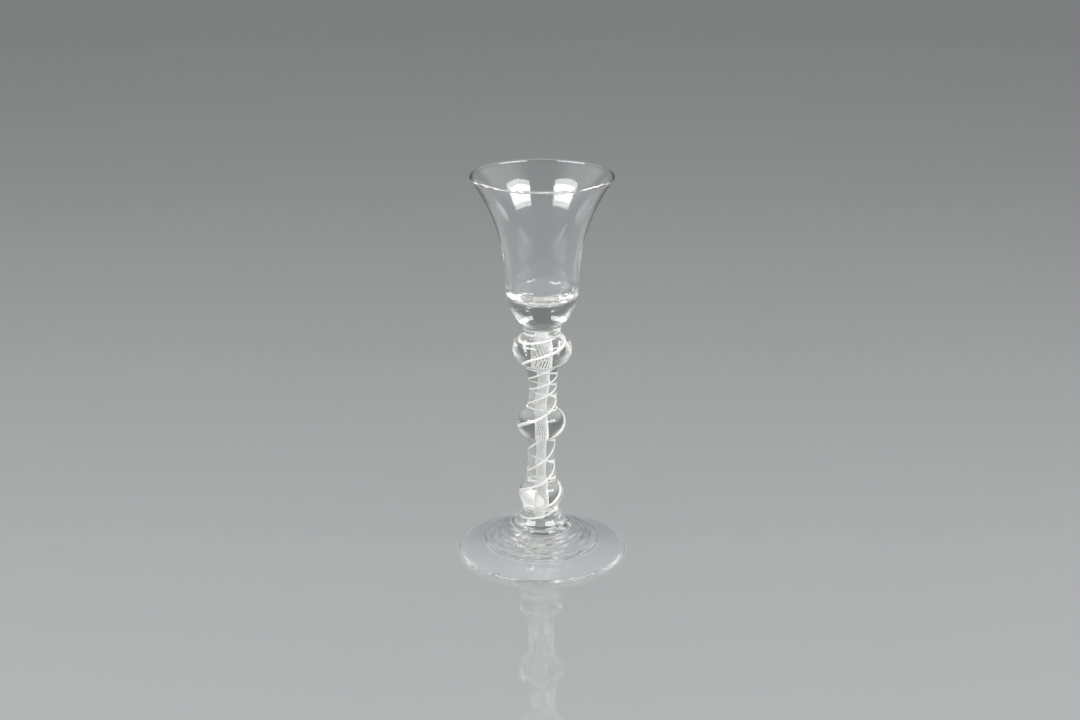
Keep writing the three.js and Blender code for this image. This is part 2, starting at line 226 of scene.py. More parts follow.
@named
class StemSizes(bpy.types.PropertyGroup):
    """Sizes of the stem's ends and of the shafts between its knops"""

    high: length("Upper end of the stem", STEM_HIGH.z)
    low: length("Lower end of the stem", STEM_LOW.z)
    seam_rise: length("Height of the fused seam over that end", 0.0006)
    low_neck_radius: length("Waist radius of the neck on the foot", 0.0078)
    low_neck_rise: length("Height of that waist over the foot", 0.008)
    low_neck_hollow: length("Radius of that neck's curve", 0.009)
    low_shaft_radius: length("Waist radius of the lower shaft", 0.00588)
    low_shaft_waist: length("Height of that waist", 0.04425)
    low_shaft_hollow: length("Radius of that shaft's curve", 0.079)
    high_shaft_radius: length("Waist radius of the upper shaft", 0.00598)
    high_shaft_waist: length("Height of that waist", 0.0755)
    high_shaft_hollow: length("Radius of that shaft's curve", 0.042)
    neck_radius: length("Waist radius of the neck under the bowl", 0.0079)
    neck_hollow: length("Radius of that neck's curve", 0.03)
    collar_lean: number("Sideways place of the collar's middle, in metres", -0.0008)
    knop_lean: number("Sideways place of the two lower knops, in metres", -0.0003)
    shaft_lean: number("Sideways place of the upper shaft, in metres", 0.0003)


@named
class TwistSizes(bpy.types.PropertyGroup):
    """Sizes of the enamel threads and of their twist"""

    thread_radius: length("Radius of a heavy thread in the shafts", 0.0004)
    thread_share: number("Distance of a heavy thread over the shaft's radius", 0.62)
    thread_count: count("Number of heavy threads", 2)
    gauze_count: count("Number of fine threads", 20)
    gauze_thread: length("Radius of a fine thread", 0.00008)
    gauze_low: length("Radius of the gauze in the lower shaft", 0.00128)
    gauze_high: length("Radius of the gauze in the upper shaft", 0.00152)
    gauze_oval: number("How far the heavy threads press the gauze flat", 0.07)
    wander: length("How far the gauze wanders to its sides", 0.00012)
    wander_more: length("Added wander in the upper shaft", 0.00034)
    wander_length: length("Height from one side to the same side again", 0.0274)
    wander_left: length("Height where the gauze lies furthest left", 0.0684)
    wander_fade: number("Wander length over the added wander's fade", 3.0)
    crossing: length("Height where a heavy thread crosses the front", 0.04255)


@named
class BowlSizes(bpy.types.PropertyGroup):
    """Sizes of the bell bowl"""

    bottom: length("Height where the bowl meets the stem", BOWL_LOW.z)
    top: length("Height of the rim", BOWL_HIGH.z)
    stub_radius: length("Radius where the bowl meets the stem", 0.0081)
    base_height: length("Height of the waist over the stem", 0.0196)
    base_curve: length("Height of the base's round outline", 0.0204)
    waist_radius: length("Radius of the narrow part of the bell", 0.0157)
    rim_radius: length("Outer radius of the rim", BOWL_HIGH.x)
    bell_curve: number("Power of the bell's outline", 2.2)
    waist_wall: length("Thickness of the wall at the waist", 0.0022)
    rim_wall: length("Thickness of the wall at the rim", 0.0015)
    floor_thickness: length("Solid glass under the cup", 0.0124)
    cup_fullness: number("Power of the round bottom of the cup", 2.0)
    cup_wave: length("Height of the waves inside the bottom of the cup", 0.00018)
    cup_wave_top: length("Height where those waves end", 0.132)


@named
class MakingSizes(bpy.types.PropertyGroup):
    """How finely the surfaces are made, and the marks that hand work leaves"""

    polish: length("Length over which the fire rounds a corner", 0.00025)
    sides: count("Points round the clear glass", 192)
    wobble: number("How far a turned part is out of round, over its radius", 0.004)
    wobble_turn: number("Turn of that oval, in radians per metre", 40.0)
    long_step: length("Most between two rings of points", 0.0012)
    fine_step: length("Most between them where the foot has tool rings", 0.00018)
    bend: number("Most that the outline bends at a point, in degrees", 3.6)
    seam_margin: length("Distance of the rings beside a fused seam", 0.00003)
    thread_sides: count("Points round a heavy thread", 14)
    thread_step: length("Height between two rings of a heavy thread", 0.00035)
    gauze_sides: count("Points round a fine thread", 8)
    gauze_step: length("Height between two rings of a fine thread", 0.00045)


@named
class Finishes(bpy.types.PropertyGroup):
    """Colours of the glass, the enamel and the floor"""

    glass: colour("Colour of clear lead glass", (0.99, 0.991, 0.992, 1.0))
    glass_cord: colour("Colour of the glass's faint streaks", (0.968, 0.971, 0.974, 1.0))
    shade: colour("Light that one wall lets through", (0.91, 0.914, 0.916, 1.0))
    enamel: colour("Colour of the white enamel", (0.92, 0.915, 0.9, 1.0))
    enamel_thin: colour("Colour where the enamel lies thinner", (0.78, 0.785, 0.8, 1.0))
    floor: colour("Colour of the floor", (0.42, 0.423, 0.426, 1.0))
    room: colour("Colour of the room round the glass", (0.18, 0.182, 0.184, 1.0))
    room_side: colour("Colour of the room high up at its sides", (0.98, 0.98, 0.98, 1.0))
    index: number("Index of refraction of lead glass", 1.57)
    rubbed: number("Roughness of the ring that stands on the table", 0.12)
    skin_waves: number("Height of the slow waves of the skin", 1.5)
    skin_lines: number("Height of the fine lines round the glass", 0.15)
    enamel_rough: number("Roughness where the enamel lies thick", 0.3)
    enamel_rougher: number("Roughness added where the enamel lies thinner", 0.25)
    enamel_gloss: number("Specular level of the enamel", 0.15)
    floor_rough: number("Roughness where the floor is smoothest", 0.015)
    floor_rougher: number("Roughness added in the floor's clouds", 0.02)
    floor_clouds: number("Brightness of the floor's darkest clouds", 0.97)


@named
class StageSizes(bpy.types.PropertyGroup):
    """Camera, lamps and floor"""

    camera_x: number("Place of the camera, in metres", -0.00086)
    camera_y: number("Place of the camera, in metres", -0.7446)
    camera_z: number("Place of the camera, in metres", 0.3473)
    camera_dip: number("Angle of the view below the horizon, in degrees", 19.16)
    camera_lens: number("Focal length, in millimetres, on a 36 mm sensor", 61.2)
    lamp_distance: length("Distance of a softbox from the glass", 1.1)
    lamp_side: number("Angle of a softbox from the camera's side, in degrees", 55.0)
    lamp_rise: number("Angle of a softbox above the horizon, in degrees", 35.0)
    lamp_roll: number("How far a softbox's outer end hangs down, in degrees", 15.0)
    lamp_width: length("Width of a softbox", 0.85)
    lamp_height: length("Height of a softbox", 0.28)
    lamp_power: number("Power of a softbox, in watts", 6.6)
    room_light: number("Strength of the even light of the room", 0.5)
    floor_radius: length("Radius of the floor", 5.0)


PARTS = {
    "foot": FootSizes, "stem": StemSizes, "lower_knop": LowerKnopSizes,
    "middle_knop": MiddleKnopSizes, "top_knop": TopKnopSizes, "twist": TwistSizes,
    "bowl": BowlSizes, "making": MakingSizes, "finishes": Finishes, "stage": StageSizes,
}


@named
class TwistGlass(bpy.types.PropertyGroup):
    """Everything that the glass is made from"""

    __annotations__ = {
        part: partial(bpy.props.PointerProperty, type=sizes, description=sizes.__doc__)
        for part, sizes in PARTS.items()
    }


def knops(glass):
    """The three knops from the foot up."""
    return [glass.lower_knop, glass.middle_knop, glass.top_knop]


def shaft_radius(glass, height):
    """Radius of the cane without its knops.

    Each shaft is its waist's radius plus the squared distance from the waist over twice the
    radius of its hollow curve. A shaft ends at the middle of a knop.
    """
    stem = glass.stem
    waists = [
        (stem.low + stem.low_neck_rise, stem.low_neck_radius, stem.low_neck_hollow),
        (stem.low_shaft_waist, stem.low_shaft_radius, stem.low_shaft_hollow),
        (stem.high_shaft_waist, stem.high_shaft_radius, stem.high_shaft_hollow),
        (stem.high, stem.neck_radius, stem.neck_hollow),
    ]
    curves = [radius + (height - waist) ** 2 / (2 * hollow) for waist, radius, hollow in waists]
    middles = [knop.height for knop in knops(glass)]
    return np.choose(np.searchsorted(middles, height, side="right"), curves)


def stem_radius(glass, height):
    """Outside of the stem: the larger of the shaft and of each knop's round bead.

    A bead is an arc of a circle. Its middle lies inside the knop by the arc's own radius.
    """
    radius = shaft_radius(glass, height)
    for knop in knops(glass):
        rise = np.clip(knop.curve**2 - (height - knop.height) ** 2, 0, None)
        bead = np.where(rise > 0, knop.radius - knop.curve + np.sqrt(rise), 0)
        radius = np.maximum(radius, bead)
    return radius


def swell(height, knop):
    """Share of a knop's swelling that the inner layers have, a half cosine of the height."""
    distance = np.clip(np.abs(height - knop.height) / knop.reach, 0, 1)
    return np.cos(distance * np.pi / 2)


def in_knops(glass, height, plain, size):
    """A plain size, which in each knop turns into the knop's own by the swelling's share."""
    return plain + sum(
        swell(height, knop) * (getattr(knop, size) - plain) for knop in knops(glass)
    )


def gauze_distance(glass, height):
    """Distance of the fine threads from the gauze's middle, wider in each knop, and the
    thickness of such a thread, which the knop spreads by the same share."""
    twist = glass.twist
    plain = np.where(height < glass.middle_knop.height, twist.gauze_low, twist.gauze_high)
    distance = in_knops(glass, height, plain, "gauze")
    return distance, twist.gauze_thread * distance / plain


def smooth_step(value, low, high):
    """0 below low, 1 above high and 3 t^2 - 2 t^3 between."""
    share = np.clip((value - low) / (high - low), 0, 1)
    return share * share * (3 - 2 * share)


def twist_angle(glass, height):
    """Turn of the cane: a full turn over the pitch, added up from the front crossing."""
    fine = np.linspace(glass.foot.cone_height, glass.bowl.top, POINTS["twist"])
    rate = 2 * np.pi / np.interp(fine, *zip(*PITCHES))
    steps = (rate[1:] + rate[:-1]) / 2 * np.diff(fine)
    turn = np.concatenate([[0], np.cumsum(steps)])
    start = np.interp(glass.twist.crossing, fine, turn)
    return np.interp(height, fine, turn) - start - np.pi / 2


def hollow_radius(foot):
    """Radius of the hollow underside, where the ring that stands on the table starts."""
    return foot.radius - foot.edge_width - foot.rest_ring


def hollow_height(foot, radius):
    """Underside of the foot: the hollow's height times 1 - (radius over its own) ^ curve."""
    share = (radius / hollow_radius(foot)) ** foot.hollow_curve
    return (foot.top - foot.middle_thickness) * (1 - share)


def foot_outline(glass):
    """Foot from the middle of its underside to the top of its collar.

    The scar's lip, the hollow, a flat ring, a half-round edge, the straight cone and the
    collar, which is an arc from half a quarter turn below its widest point to its flat top.
    """
    foot = glass.foot
    scar = hollow_height(foot, foot.pontil_radius)
    dip = (hollow_height(foot, 0) - scar) / 2
    lip_end = foot.pontil_radius + foot.pontil_lip_width
    lip = np.array([
        [0, scar + dip],
        [foot.pontil_radius - foot.pontil_lip_width, scar],
        [foot.pontil_radius, scar - foot.pontil_lip_height],
    ])
    hollow = np.linspace(lip_end, hollow_radius(foot), POINTS["hollow"])
    under = np.stack([hollow, hollow_height(foot, hollow)], axis=1)
    turn = np.linspace(-np.pi / 2, np.pi / 2, POINTS["edge"])
    edge = np.stack([
        foot.radius - foot.edge_width * (1 - np.cos(turn)),
        foot.edge_height / 2 * (1 + np.sin(turn)),
    ], axis=1)
    arc = np.linspace(-np.pi / 4, np.pi / 2, POINTS["collar"])
    rise = (foot.top - foot.cone_height) * foot.collar_squeeze
    collar = np.stack([
        stem_radius(glass, np.array(glass.stem.low)) + foot.collar_overhang * np.cos(arc),
        foot.top - rise * (1 - np.sin(arc)),
    ], axis=1)
    return np.concatenate([lip, under, edge, collar])


def stem_outline(glass):
    """Stem from foot to bowl, its radius worked out at close heights."""
    height = np.linspace(glass.stem.low, glass.stem.high, POINTS["stem"])
    return np.stack([stem_radius(glass, height), height], axis=1)


def bell(bowl, height, waist, rim):
    """Outside of the bell and its wall.

    The radius grows from waist to rim with the climb to the power of the bell curve, and
    the wall thins evenly.
    """
    climb = (height - waist) / (rim - waist)
    radius = bowl.waist_radius + (bowl.rim_radius - bowl.waist_radius) * climb**bowl.bell_curve
    return radius, bowl.waist_wall + (bowl.rim_wall - bowl.waist_wall) * climb


def bowl_outline(glass):
    """Bowl from its stub, over the rim and down to the middle of the cup's floor.

    The base is a quarter ellipse cut off at the stub, the rim is a half circle, and the
    bottom of the cup is half an ellipse whose power is the cup fullness.
    """
    bowl = glass.bowl
    waist = bowl.bottom + bowl.base_height
    rim = bowl.top - bowl.rim_wall / 2
    stub_turn = math.acos(bowl.stub_radius / bowl.waist_radius)
    turn = np.linspace(stub_turn, 0, POINTS["base"])
    base = np.stack([
        bowl.waist_radius * np.cos(turn),
        waist - bowl.base_curve * np.sin(turn),
    ], axis=1)
    height = np.linspace(waist, rim, POINTS["bell"])
    radius, wall = bell(bowl, height, waist, rim)
    outside = np.stack([radius, height], axis=1)[1:]
    inside = np.stack([radius - wall, height], axis=1)[::-1]
    turn = np.linspace(0, np.pi, POINTS["lip"])[1:-1]
    lip = np.stack([
        bowl.rim_radius - bowl.rim_wall / 2 * (1 - np.cos(turn)),
        rim + bowl.rim_wall / 2 * np.sin(turn),
    ], axis=1)
    turn = np.linspace(0, np.pi / 2, POINTS["cup"])[1:]
    depth = waist - bowl.bottom - bowl.floor_thickness
    power = 2 / bowl.cup_fullness
    cup = np.stack([
        (bowl.waist_radius - bowl.waist_wall) * np.clip(np.cos(turn), 0, None) ** power,
        waist - depth * np.sin(turn) ** power,
    ], axis=1)
    stub = np.array([[bowl.stub_radius, bowl.bottom]])
    return np.concatenate([stub, base, outside, lip, inside, cup])


def along(points):
    """Distance of each point along an outline."""
    steps = np.hypot(*np.diff(points, axis=0).T)
    return np.concatenate([[0], np.cumsum(steps)])


def polished(outline, reach):
    """The outline as the fire leaves it.

    It is sampled evenly and averaged with a bell-shaped weight, so every corner is rounded.
    Past the axis it goes on as its own mirror image, so that it crosses the axis level.
    """
    spacing = reach / POLISH_SAMPLES
    travel = along(outline)
    even = np.linspace(0, travel[-1], int(travel[-1] / spacing))
    points = np.stack([np.interp(even, travel, outline[:, i]) for i in (0, 1)], axis=1)
    pad = POLISH_SAMPLES * POLISH_SPAN
    mirror = np.array([-1, 1])
    before = points[1:pad + 1][::-1] * mirror
    after = points[-pad - 1:-1][::-1] * mirror
    padded = np.concatenate([before, points, after])
    offsets = np.arange(-pad, pad + 1) * spacing
    weight = np.exp(-(offsets**2) / (2 * reach**2))
    weight /= weight.sum()
    smooth = np.stack([np.convolve(padded[:, i], weight, "valid") for i in (0, 1)], axis=1)
    smooth[[0, -1], 0] = 0
    return smooth


def thinned(points, longest, sharpest, keep):
    """Fewer points of a fine outline: close together in its bends and far apart on its runs.

    A step is at most as long as longest, which each point has its own of, and turns at most
    by sharpest. The heights in keep, with a ring close below and above each, stay.
    """
    heading = np.unwrap(np.arctan2(*np.diff(points, axis=0).T[::-1]))
    bend = np.abs(np.diff(heading, prepend=heading[0], append=heading[-1]))
    travel = along(points)
    steps = np.diff(travel, prepend=0) / longest
    cost = np.cumsum(steps) + np.cumsum(bend) / sharpest
    share = np.linspace(0, cost[-1], int(np.ceil(cost[-1])) + 1)
    places = np.interp(share, cost, travel)
    for height, margin in keep:
        first = np.argmax(points[:, 1] > height)
        low, high = points[first - 1:first + 1, 1]
        middle = travel[first - 1] + (height - low) / (high - low) * np.diff(travel)[first - 1]
        places = places[np.abs(places - middle) > SEAM_CLEAR * margin]
        places = np.sort(np.concatenate([places, [middle - margin, middle, middle + margin]]))
    return np.stack([np.interp(places, travel, points[:, i]) for i in (0, 1)], axis=1)


def glass_outline(glass):
    """Outline of the whole clear glass, and which of its points are its two fused seams."""
    making = glass.making
    raw = np.concatenate([foot_outline(glass), stem_outline(glass), bowl_outline(glass)])
    foot_seam = glass.stem.low + glass.stem.seam_rise
    bowl_seam = (glass.stem.high + glass.bowl.bottom) / 2
    seams = (foot_seam, bowl_seam)
    keep = [(seam, making.seam_margin) for seam in seams]
    smooth = polished(raw, making.polish)
    rings = ring_zone(glass, smooth[:, 0], smooth[:, 1])
    longest = np.where(rings > 0, making.fine_step, making.long_step)
    points = thinned(smooth, longest, math.radians(making.bend), keep)
    return points, [int(np.argmin(seam_distance(points, seam))) for seam in seams]


def seam_distance(points, seam):
    """Distance of each point from a seam's height, counting only the outside of the glass."""
    top = int(np.argmax(points[:, 1]))
    distance = np.abs(points[:, 1] - seam)
    distance[top:] = np.inf
    return distance


def hand_work(glass, radius, height, angle):
    """The marks of hand work on a turned surface, as new radii and heights.

    Each part is slightly oval, drawn in by at most the wobble. The oval turns with the
    height.
    """
    oval = (1 - np.cos(2 * angle + glass.making.wobble_turn * height)) / 2
    round_radius = radius * (1 - glass.making.wobble * oval)
    round_radius = round_radius + cup_waves(glass, radius, height, angle)
    return round_radius, height + tool_rings(glass, radius, height, angle)


def ring_zone(glass, radius, height):
    """Where the foot has tool rings: 1 on its top, less on its underside, 0 elsewhere."""
    foot = glass.foot
    outer = foot.ring_outer + foot.ring_fade
    start = smooth_step(radius, foot.ring_inner - SKIN, foot.ring_inner + SKIN)
    end = 1 - smooth_step(radius, foot.ring_outer, outer)
    middle = hollow_height(foot, np.clip(radius, 0, outer)) + SKIN
    side = np.where(height > middle, 1, foot.ring_under)
    return start * end * side * (height < foot.cone_height)


def ripple(angle, run, times, length_of_run, start):
    """Sine of times the angle, plus the run over its length, plus the start."""
    return np.sin(times * angle + run / length_of_run + start)


def crossed(angle, run, ripples):
    """Two ripples multiplied, which come and go like the unevenness of hot glass."""
    first, second = ripples
    return ripple(angle, run, *first) * ripple(angle, run, *second)


def tool_rings(glass, radius, height, angle):
    """Rings left by the tool: a narrowed cosine of the radius that winds as a spiral.

    They wave and come and go round the foot, sink towards the edge, and end at a ledge.
    """
    foot = glass.foot
    bends = sum(size * np.sin(times * angle + start) for times, start, size in RING_BENDS)
    turn = 2 * np.pi * radius / foot.ring_spacing + angle + bends
    wave = ((1 + np.cos(turn)) / 2) ** foot.ring_sharpness
    uneven = 1 - foot.ring_uneven + foot.ring_uneven * crossed(angle, radius, RING_RIPPLES)
    sway = FINE_RING_SWAY * np.sin(FINE_RING_SWAYS * angle)
    fine = foot.ring_fine * np.sin(FINE_RINGS * turn + sway)
    fine = fine * ripple(angle, radius, *FINE_RING_RIPPLE)
    sinking = 1 - foot.ring_sinking * smooth_step(radius, foot.ring_inner, foot.ring_outer)
    ledge = np.exp(-(((radius - foot.ring_outer) / foot.ledge_width) ** 2))
    marks = foot.ring_height * sinking * (wave * uneven + fine) + foot.ledge_height * ledge
    return marks * ring_zone(glass, radius, height)


def cup_waves(glass, radius, height, angle):
    """Uneven glass inside the bottom of the cup: crossed sines that fade with the height."""
    bowl = glass.bowl
    cup_floor = bowl.bottom + bowl.floor_thickness
    inside = (radius < bowl.waist_radius - bowl.waist_wall / 2) & (height > cup_floor - SKIN)
    fade = 1 - smooth_step(height, cup_floor, bowl.cup_wave_top)
    off_axis = smooth_step(radius, CUP_WAVES_START, CUP_WAVES_FULL)
    wave = crossed(angle, height, CUP_RIPPLES)
    fine = crossed(angle, height, FINE_CUP_RIPPLES)
    return bowl.cup_wave * (wave + fine / 2) * fade * off_axis * inside


def mesh_object(name, points, faces):
    """An object at the origin with its place in its mesh."""
    mesh = bpy.data.meshes.new(name)
    mesh.from_pydata(points.tolist(), [], faces)
    mesh.shade_smooth()
    mesh.update()
    piece = bpy.data.objects.new(name, mesh)
    bpy.context.scene.collection.objects.link(piece)
    return piece


def closed_faces(rings, sides):
    """Faces of a closed skin of rings, with one more point at each end as its poles."""
    ring = np.arange(rings - 1)[:, None] * sides
    side = np.arange(sides)[None, :]
    after = (side + 1) % sides
    corners = [ring + side, ring + after, ring + sides + after, ring + sides + side]
    quads = np.stack(np.broadcast_arrays(*corners), axis=-1).reshape(-1, 4)
    side = side[0]
    after = after[0]
    first = np.full(sides, rings * sides)
    last = np.full(sides, rings * sides + 1)
    top = (rings - 1) * sides
    start = np.stack([first, after, side], axis=1)
    end = np.stack([top + side, top + after, last], axis=1)
    return start.tolist() + quads.tolist() + end.tolist()


def turned(glass, name, outline):
    """A body of revolution: every point of the outline goes round the axis as a ring.

    The outline starts and ends on the axis, where its two ends become the poles.
    """
    sides = glass.making.sides
    angle = np.linspace(0, 2 * np.pi, sides, endpoint=False)[None, :]
    radius, height = (outline[1:-1, i:i + 1] for i in (0, 1))
    radius, height = hand_work(glass, radius, height, angle)
    x = radius * np.cos(angle) + lean(glass, height)
    rings = np.stack(np.broadcast_arrays(x, radius * np.sin(angle), height), axis=-1)
    ends = outline[[0, -1], 1]
    poles = np.stack([lean(glass, ends), 0 * ends, ends], axis=1)
    points = np.concatenate([rings.reshape(-1, 3), poles])
    return mesh_object(name, points, closed_faces(len(outline) - 2, sides))


def swept(name, path, thickness, sides):
    """A round thread: a circle of the given radius stands square to the path at each point.

    The circle's first axis is the direction away from the Z axis, made square to the path.
    """
    ahead = np.gradient(path, axis=0)
    ahead /= np.linalg.norm(ahead, axis=1, keepdims=True)
    out = path * np.array([1, 1, 0])
    out -= ahead * np.sum(out * ahead, axis=1, keepdims=True)
    out /= np.linalg.norm(out, axis=1, keepdims=True)
    across = np.cross(ahead, out)
    turn = np.linspace(0, 2 * np.pi, sides, endpoint=False)[None, :, None]
    spokes = np.cos(turn) * out[:, None] + np.sin(turn) * across[:, None]
    rings = path[:, None] + thickness[:, None, None] * spokes
    points = np.concatenate([rings.reshape(-1, 3), path[[0, -1]]])
    return mesh_object(name, points, closed_faces(len(path), sides))


def thread_heights(glass, margin, step):
    """Even heights for a thread, which ends a little inside both ends of the stem."""
    low = glass.stem.low + margin
    high = glass.stem.high - margin
    return np.linspace(low, high, int((high - low) / step))


def helix(distance, angle, height, middle):
    """Points at a distance and an angle round a middle that wanders to the sides."""
    return np.stack([
        distance * np.cos(angle) + middle, distance * np.sin(angle), height,
    ], axis=1)


def lean(glass, height):
    """Sideways place of the stem's middle, which hand work leaves a little crooked.

    It runs from each height in the table to the next as a smooth step.
    """
    stem = glass.stem
    heights = [
        glass.foot.cone_height, stem.low, glass.lower_knop.height, glass.middle_knop.height,
        stem.high_shaft_waist, glass.top_knop.height,
    ]
    places = [0, stem.collar_lean, stem.knop_lean, stem.knop_lean, stem.shaft_lean, 0]
    side = 0
    for low, high, before, after in zip(heights, heights[1:], places, places[1:]):
        side = side + (after - before) * smooth_step(height, low, high)
    return side


def gauze_middle(glass, height):
    """Sideways place of the gauze's middle: a slow wave, larger in the upper shaft."""
    twist = glass.twist
    away = (height - glass.stem.high_shaft_waist) / (twist.wander_length / twist.wander_fade)
    reach = twist.wander + twist.wander_more * np.exp(-(away**2))
    return -reach * np.cos(2 * np.pi * (height - twist.wander_left) / twist.wander_length)


class Value:
    """A number in a node tree. Arithmetic on it adds Math nodes."""

    def __init__(self, shader, socket):
        self.shader = shader
        self.socket = socket

    def math(self, operation, *inputs):
        return self.shader.number("ShaderNodeMath", {"operation": operation}, *inputs)

    def __add__(self, other):
        return self.math("ADD", self, other)

    def __radd__(self, other):
        return self.math("ADD", other, self)

    def __sub__(self, other):
        return self.math("SUBTRACT", self, other)

    def __rsub__(self, other):
        return self.math("SUBTRACT", other, self)

    def __mul__(self, other):
        return self.math("MULTIPLY", self, other)

    def __rmul__(self, other):
        return self.math("MULTIPLY", other, self)

    def __pow__(self, other):
        return self.math("POWER", self, other)


class Shader:
    """A node tree with one method that adds any node."""

    def __init__(self, tree):
        self.tree = tree
        self.tree.nodes.clear()

    def node(self, kind, settings=None, sockets=None):
        """Adds a node, sets its settings, then fills or links its sockets."""
        node = self.tree.nodes.new(kind)
        for name, value in (settings or {}).items():
            setattr(node, name, value)
        for key, value in (sockets or {}).items():
            socket = self.input(node, key)
            if isinstance(value, Value):
                value = value.socket
            if isinstance(value, bpy.types.NodeSocket):
                self.tree.links.new(value, socket)
            else:
                socket.default_value = value
        return node

    def input(self, node, key):
        """A socket by its number, or the first one in use by its name."""
        if isinstance(key, int):
            return node.inputs[key]
        return next(s for s in node.inputs if s.name == key and s.enabled)

    def number(self, kind, settings, *inputs):
        """A node's first output as a value, with its sockets filled in order."""
        node = self.node(kind, settings, dict(enumerate(inputs)))
        return Value(self, node.outputs[0])

    def blend(self, share, first, second):
        """A colour between two colours."""
        node = self.node(
            "ShaderNodeMix", {"data_type": "RGBA"}, {"Factor": share, "A": first, "B": second},
        )
        return next(s for s in node.outputs if s.enabled)

    def ramp(self, value, low, high):
        """0 at low, 1 at high, straight between and level outside."""
        node = self.node(
            "ShaderNodeMapRange", {"clamp": True},
            {"Value": value, "From Min": low, "From Max": high},
        )
        return Value(self, node.outputs["Result"])

    def place(self, scale=(1, 1, 1)):
        """Object coordinates, stretched by a Mapping node."""
        coords = self.node("ShaderNodeTexCoord").outputs["Object"]
        mapping = self.node("ShaderNodeMapping", None, {"Vector": coords, "Scale": scale})
        return mapping.outputs[0]

    def noise(self, place, scale, detail):
        """Soft noise from 0 to 1."""
        node = self.node(
            "ShaderNodeTexNoise", None, {"Vector": place, "Scale": scale, "Detail": detail},
        )
        return Value(self, node.outputs["Fac"])

    def finish(self, kind, surface):
        """Joins the last shader to the output."""
        self.node(kind, None, {"Surface": surface})


def new_material(name):
    """A material with an empty node tree."""
    material = bpy.data.materials.new(name)
    material.use_nodes = True
    return material, Shader(material.node_tree)


def glass_material(glass):
    """Clear lead glass with faint streaks and a hand-worked skin.

    Lamps reach what is inside and behind it through a Transparent shader. The ring that
    stands on the table is rubbed dull.
    """
    finishes = glass.finishes
    material, shader = new_material("lead_glass")
    place = shader.place()
    streaks = shader.noise(shader.place(scale=(1, 1, 0.25)), scale=90.0, detail=3.0)
    tint = shader.blend(streaks, finishes.glass, finishes.glass_cord)
    split = shader.node("ShaderNodeSeparateXYZ", None, {"Vector": place})
    x, y, z = (Value(shader, split.outputs[name]) for name in "XYZ")
    radius = (x * x + y * y) ** 0.5
    ring = hollow_radius(glass.foot)
    worn_from = shader.ramp(radius, low=ring - 0.0002, high=ring)
    worn_up_to = 1 - shader.ramp(z, low=0.0001, high=0.0002)
    scuffs = shader.ramp(shader.noise(place, scale=1500.0, detail=4.0), low=0.42, high=0.62)
    rubbed = worn_from * worn_up_to * scuffs * finishes.rubbed
    waves = shader.noise(place, scale=140.0, detail=1.0)
    lines = shader.noise(shader.place(scale=(1, 1, 6)), scale=260.0, detail=2.0)
    bump = shader.node("ShaderNodeBump", None, {
        "Strength": 1.0, "Distance": 0.00001,
        "Height": waves * finishes.skin_waves + lines * finishes.skin_lines,
    })
    clear_glass = shader.node("ShaderNodeBsdfPrincipled", None, {
        "Base Color": tint, "Roughness": rubbed, "IOR": finishes.index,
        "Transmission Weight": 1.0, "Normal": bump.outputs[0],
    })
    clear = shader.node("ShaderNodeBsdfTransparent", None, {"Color": finishes.shade})
    shadow = shader.node("ShaderNodeLightPath").outputs["Is Shadow Ray"]
    mixed = shader.node("ShaderNodeMixShader", None, {
        0: shadow, 1: clear_glass.outputs[0], 2: clear.outputs[0],
    })
    shader.finish("ShaderNodeOutputMaterial", mixed.outputs[0])
    return material


def seam_material():
    """A fused seam, where two pieces of glass have run together and nothing shows."""
    material, shader = new_material("fused_seam")
    clear = shader.node("ShaderNodeBsdfTransparent", None, {"Color": (1, 1, 1, 1)})
    shader.finish("ShaderNodeOutputMaterial", clear.outputs[0])
    return material


def enamel_material(finishes):
    """Opaque white enamel, a little thinner and greyer in streaks along the threads."""
    material, shader = new_material("white_enamel")
    streaks = shader.noise(shader.place(scale=(1, 1, 0.4)), scale=500.0, detail=3.0)
    clouds = shader.noise(shader.place(), scale=120.0, detail=2.0)
    streaks_share = 0.6
    mottle = streaks * streaks_share + clouds * (1 - streaks_share)
    thin = shader.ramp(mottle, low=0.45, high=0.7)
    tint = shader.blend(thin, finishes.enamel, finishes.enamel_thin)
    enamel = shader.node("ShaderNodeBsdfPrincipled", None, {
        "Base Color": tint, "Roughness": finishes.enamel_rough + thin * finishes.enamel_rougher,
        "Specular IOR Level": finishes.enamel_gloss,
    })
    shader.finish("ShaderNodeOutputMaterial", enamel.outputs[0])
    return material


def floor_material(finishes):
    """A plain pale table top that mirrors faintly, in a barely uneven colour."""
    material, shader = new_material("pale_floor")
    clouds = shader.noise(shader.place(), scale=9.0, detail=4.0)
    cloudy = tuple(finishes.floor_clouds * value for value in finishes.floor)
    tint = shader.blend(clouds, finishes.floor, cloudy)
    top = shader.node("ShaderNodeBsdfPrincipled", None, {
        "Base Color": tint, "Roughness": finishes.floor_rough + clouds * finishes.floor_rougher,
    })
    shader.finish("ShaderNodeOutputMaterial", top.outputs[0])
    return material


